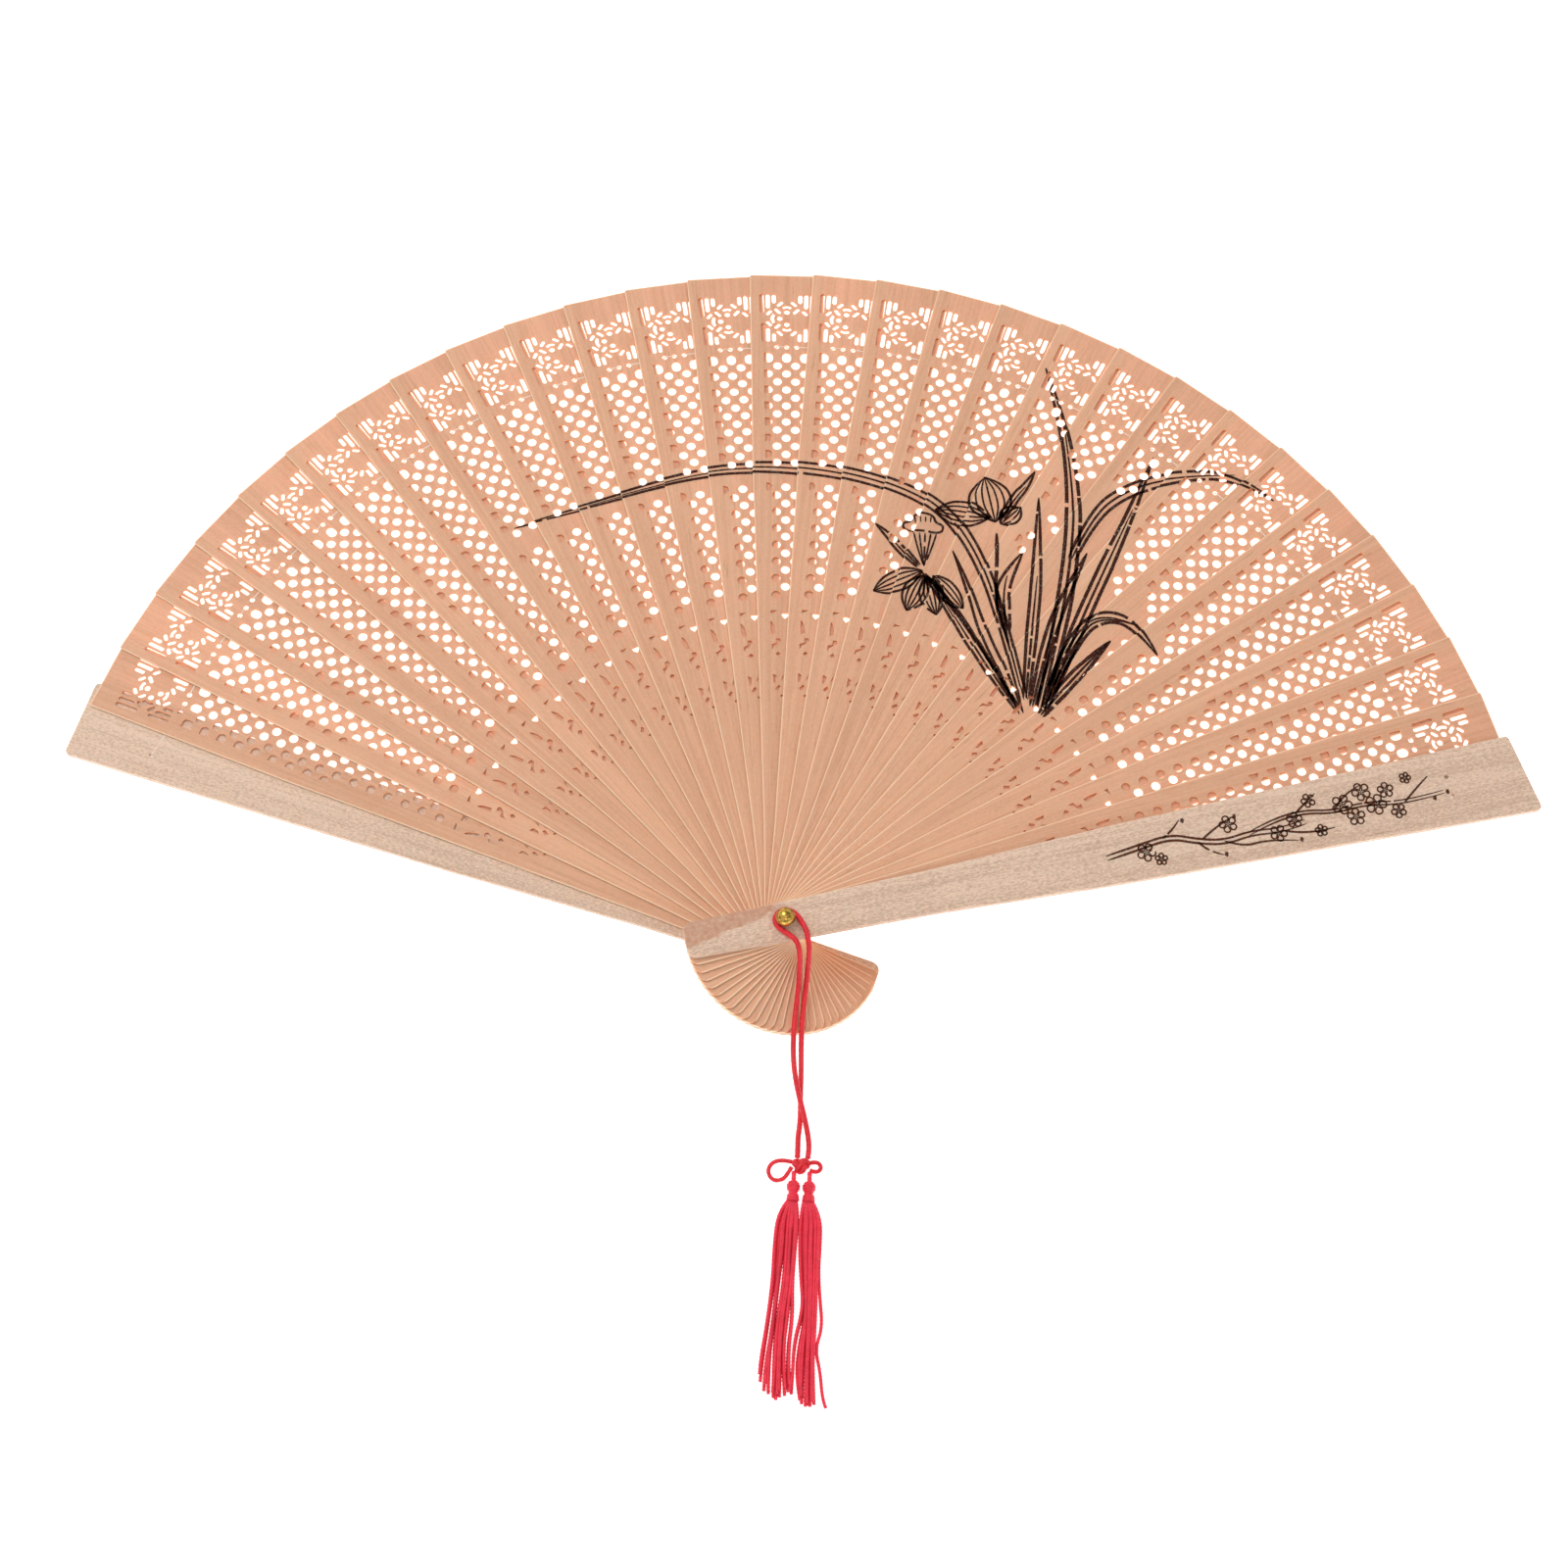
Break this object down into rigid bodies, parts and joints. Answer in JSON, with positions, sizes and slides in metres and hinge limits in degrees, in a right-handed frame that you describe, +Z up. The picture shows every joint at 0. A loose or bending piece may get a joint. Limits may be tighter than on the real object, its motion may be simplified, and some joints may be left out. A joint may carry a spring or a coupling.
{
  "type": "folding fan",
  "caption": "Wooden folding fan, lying open: thin pierced and scroll-cut blades on a brass rivet between two plain guards, linked by a thread, with a knotted cord tassel.",
  "frame": {"origin": "on the rivet's axis, in the plane that the open fan lies on, which is the outer face of the back guard and the flush head of the rivet pin", "axes": "+X to the right across the open fan, +Y from the rivet through the middle of the fan, +Z up along the rivet towards the brass ball"},
  "size_m": [0.3484, 0.2814, 0.0279],
  "materials": {
    "blade_wood": "bare sanded sandalwood",
    "guard_wood": "bare sanded sandalwood",
    "brass": "polished",
    "thread": "fine pale thread",
    "tassel_silk": "braided red silk"
  },
  "bodies": {
    "back_guard": {"back_guard": "guard_wood", "rivet_pin": "brass", "rivet_ball": "brass", "linking_thread": "thread", "tassel_cord_right": "tassel_silk", "tassel_cord_left": "tassel_silk", "tassel_knot": "tassel_silk", "bow_loop_left": "tassel_silk", "bow_loop_right": "tassel_silk", "tassel_head_left": "tassel_silk", "tassel_head_right": "tassel_silk", "fringe_left": "tassel_silk", "fringe_right": "tassel_silk"},
    "blade_01": {"blade_01": "blade_wood"},
    "blade_02": {"blade_02": "blade_wood"},
    "blade_03": {"blade_03": "blade_wood"},
    "blade_04": {"blade_04": "blade_wood"},
    "blade_05": {"blade_05": "blade_wood"},
    "blade_06": {"blade_06": "blade_wood"},
    "blade_07": {"blade_07": "blade_wood"},
    "blade_08": {"blade_08": "blade_wood"},
    "blade_09": {"blade_09": "blade_wood"},
    "blade_10": {"blade_10": "blade_wood"},
    "blade_11": {"blade_11": "blade_wood"},
    "blade_12": {"blade_12": "blade_wood"},
    "blade_13": {"blade_13": "blade_wood"},
    "blade_14": {"blade_14": "blade_wood"},
    "blade_15": {"blade_15": "blade_wood"},
    "blade_16": {"blade_16": "blade_wood"},
    "blade_17": {"blade_17": "blade_wood"},
    "blade_18": {"blade_18": "blade_wood"},
    "blade_19": {"blade_19": "blade_wood"},
    "blade_20": {"blade_20": "blade_wood"},
    "blade_21": {"blade_21": "blade_wood"},
    "blade_22": {"blade_22": "blade_wood"},
    "blade_23": {"blade_23": "blade_wood"},
    "blade_24": {"blade_24": "blade_wood"},
    "blade_25": {"blade_25": "blade_wood"},
    "blade_26": {"blade_26": "blade_wood"},
    "blade_27": {"blade_27": "blade_wood"},
    "blade_28": {"blade_28": "blade_wood"},
    "front_guard": {"front_guard": "guard_wood"}
  },
  "joints": [
    {"name": "blade_01_turn", "type": "hinge", "parent": "back_guard", "child": "blade_01", "pos_m": [0, 0, 0], "axis": [0, 0, 1], "range_deg": [0, 4.2]},
    {"name": "blade_02_turn", "type": "hinge", "parent": "blade_01", "child": "blade_02", "pos_m": [0, 0, 0], "axis": [0, 0, 1], "range_deg": [0, 5.2], "deforming": ["linking_thread", "tassel_cord_right", "tassel_cord_left"]},
    {"name": "blade_03_turn", "type": "hinge", "parent": "blade_02", "child": "blade_03", "pos_m": [0, 0, 0], "axis": [0, 0, 1], "range_deg": [0, 5.2]},
    {"name": "blade_04_turn", "type": "hinge", "parent": "blade_03", "child": "blade_04", "pos_m": [0, 0, 0], "axis": [0, 0, 1], "range_deg": [0, 5.2]},
    {"name": "blade_05_turn", "type": "hinge", "parent": "blade_04", "child": "blade_05", "pos_m": [0, 0, 0], "axis": [0, 0, 1], "range_deg": [0, 5.2]},
    {"name": "blade_06_turn", "type": "hinge", "parent": "blade_05", "child": "blade_06", "pos_m": [0, 0, 0], "axis": [0, 0, 1], "range_deg": [0, 5.2]},
    {"name": "blade_07_turn", "type": "hinge", "parent": "blade_06", "child": "blade_07", "pos_m": [0, 0, 0], "axis": [0, 0, 1], "range_deg": [0, 5.2]},
    {"name": "blade_08_turn", "type": "hinge", "parent": "blade_07", "child": "blade_08", "pos_m": [0, 0, 0], "axis": [0, 0, 1], "range_deg": [0, 5.2]},
    {"name": "blade_09_turn", "type": "hinge", "parent": "blade_08", "child": "blade_09", "pos_m": [0, 0, 0], "axis": [0, 0, 1], "range_deg": [0, 5.2]},
    {"name": "blade_10_turn", "type": "hinge", "parent": "blade_09", "child": "blade_10", "pos_m": [0, 0, 0], "axis": [0, 0, 1], "range_deg": [0, 5.2]},
    {"name": "blade_11_turn", "type": "hinge", "parent": "blade_10", "child": "blade_11", "pos_m": [0, 0, 0], "axis": [0, 0, 1], "range_deg": [0, 5.2]},
    {"name": "blade_12_turn", "type": "hinge", "parent": "blade_11", "child": "blade_12", "pos_m": [0, 0, 0], "axis": [0, 0, 1], "range_deg": [0, 5.2]},
    {"name": "blade_13_turn", "type": "hinge", "parent": "blade_12", "child": "blade_13", "pos_m": [0, 0, 0], "axis": [0, 0, 1], "range_deg": [0, 5.2]},
    {"name": "blade_14_turn", "type": "hinge", "parent": "blade_13", "child": "blade_14", "pos_m": [0, 0, 0], "axis": [0, 0, 1], "range_deg": [0, 5.2]},
    {"name": "blade_15_turn", "type": "hinge", "parent": "blade_14", "child": "blade_15", "pos_m": [0, 0, 0], "axis": [0, 0, 1], "range_deg": [0, 5.2]},
    {"name": "blade_16_turn", "type": "hinge", "parent": "blade_15", "child": "blade_16", "pos_m": [0, 0, 0], "axis": [0, 0, 1], "range_deg": [0, 5.2]},
    {"name": "blade_17_turn", "type": "hinge", "parent": "blade_16", "child": "blade_17", "pos_m": [0, 0, 0], "axis": [0, 0, 1], "range_deg": [0, 5.2]},
    {"name": "blade_18_turn", "type": "hinge", "parent": "blade_17", "child": "blade_18", "pos_m": [0, 0, 0], "axis": [0, 0, 1], "range_deg": [0, 5.2]},
    {"name": "blade_19_turn", "type": "hinge", "parent": "blade_18", "child": "blade_19", "pos_m": [0, 0, 0], "axis": [0, 0, 1], "range_deg": [0, 5.2]},
    {"name": "blade_20_turn", "type": "hinge", "parent": "blade_19", "child": "blade_20", "pos_m": [0, 0, 0], "axis": [0, 0, 1], "range_deg": [0, 5.2]},
    {"name": "blade_21_turn", "type": "hinge", "parent": "blade_20", "child": "blade_21", "pos_m": [0, 0, 0], "axis": [0, 0, 1], "range_deg": [0, 5.2]},
    {"name": "blade_22_turn", "type": "hinge", "parent": "blade_21", "child": "blade_22", "pos_m": [0, 0, 0], "axis": [0, 0, 1], "range_deg": [0, 5.2]},
    {"name": "blade_23_turn", "type": "hinge", "parent": "blade_22", "child": "blade_23", "pos_m": [0, 0, 0], "axis": [0, 0, 1], "range_deg": [0, 5.2]},
    {"name": "blade_24_turn", "type": "hinge", "parent": "blade_23", "child": "blade_24", "pos_m": [0, 0, 0], "axis": [0, 0, 1], "range_deg": [0, 5.2]},
    {"name": "blade_25_turn", "type": "hinge", "parent": "blade_24", "child": "blade_25", "pos_m": [0, 0, 0], "axis": [0, 0, 1], "range_deg": [0, 5.2]},
    {"name": "blade_26_turn", "type": "hinge", "parent": "blade_25", "child": "blade_26", "pos_m": [0, 0, 0], "axis": [0, 0, 1], "range_deg": [0, 5.2]},
    {"name": "blade_27_turn", "type": "hinge", "parent": "blade_26", "child": "blade_27", "pos_m": [0, 0, 0], "axis": [0, 0, 1], "range_deg": [0, 5.2]},
    {"name": "blade_28_turn", "type": "hinge", "parent": "blade_27", "child": "blade_28", "pos_m": [0, 0, 0], "axis": [0, 0, 1], "range_deg": [0, 5.2]},
    {"name": "front_guard_turn", "type": "hinge", "parent": "blade_28", "child": "front_guard", "pos_m": [0, 0, 0], "axis": [0, 0, 1], "range_deg": [0, 4.2]}
  ],
  "couplings": [
    {"joint": "blade_01_turn", "follows": "blade_02_turn", "ratio": 0.8076},
    {"joint": "blade_03_turn", "follows": "blade_02_turn", "ratio": 1},
    {"joint": "blade_04_turn", "follows": "blade_02_turn", "ratio": 1},
    {"joint": "blade_05_turn", "follows": "blade_02_turn", "ratio": 1},
    {"joint": "blade_06_turn", "follows": "blade_02_turn", "ratio": 1},
    {"joint": "blade_07_turn", "follows": "blade_02_turn", "ratio": 1},
    {"joint": "blade_08_turn", "follows": "blade_02_turn", "ratio": 1},
    {"joint": "blade_09_turn", "follows": "blade_02_turn", "ratio": 1},
    {"joint": "blade_10_turn", "follows": "blade_02_turn", "ratio": 1},
    {"joint": "blade_11_turn", "follows": "blade_02_turn", "ratio": 1},
    {"joint": "blade_12_turn", "follows": "blade_02_turn", "ratio": 1},
    {"joint": "blade_13_turn", "follows": "blade_02_turn", "ratio": 1},
    {"joint": "blade_14_turn", "follows": "blade_02_turn", "ratio": 1},
    {"joint": "blade_15_turn", "follows": "blade_02_turn", "ratio": 1},
    {"joint": "blade_16_turn", "follows": "blade_02_turn", "ratio": 1},
    {"joint": "blade_17_turn", "follows": "blade_02_turn", "ratio": 1},
    {"joint": "blade_18_turn", "follows": "blade_02_turn", "ratio": 1},
    {"joint": "blade_19_turn", "follows": "blade_02_turn", "ratio": 1},
    {"joint": "blade_20_turn", "follows": "blade_02_turn", "ratio": 1},
    {"joint": "blade_21_turn", "follows": "blade_02_turn", "ratio": 1},
    {"joint": "blade_22_turn", "follows": "blade_02_turn", "ratio": 1},
    {"joint": "blade_23_turn", "follows": "blade_02_turn", "ratio": 1},
    {"joint": "blade_24_turn", "follows": "blade_02_turn", "ratio": 1},
    {"joint": "blade_25_turn", "follows": "blade_02_turn", "ratio": 1},
    {"joint": "blade_26_turn", "follows": "blade_02_turn", "ratio": 1},
    {"joint": "blade_27_turn", "follows": "blade_02_turn", "ratio": 1},
    {"joint": "blade_28_turn", "follows": "blade_02_turn", "ratio": 1},
    {"joint": "front_guard_turn", "follows": "blade_02_turn", "ratio": 0.8076}
  ]
}
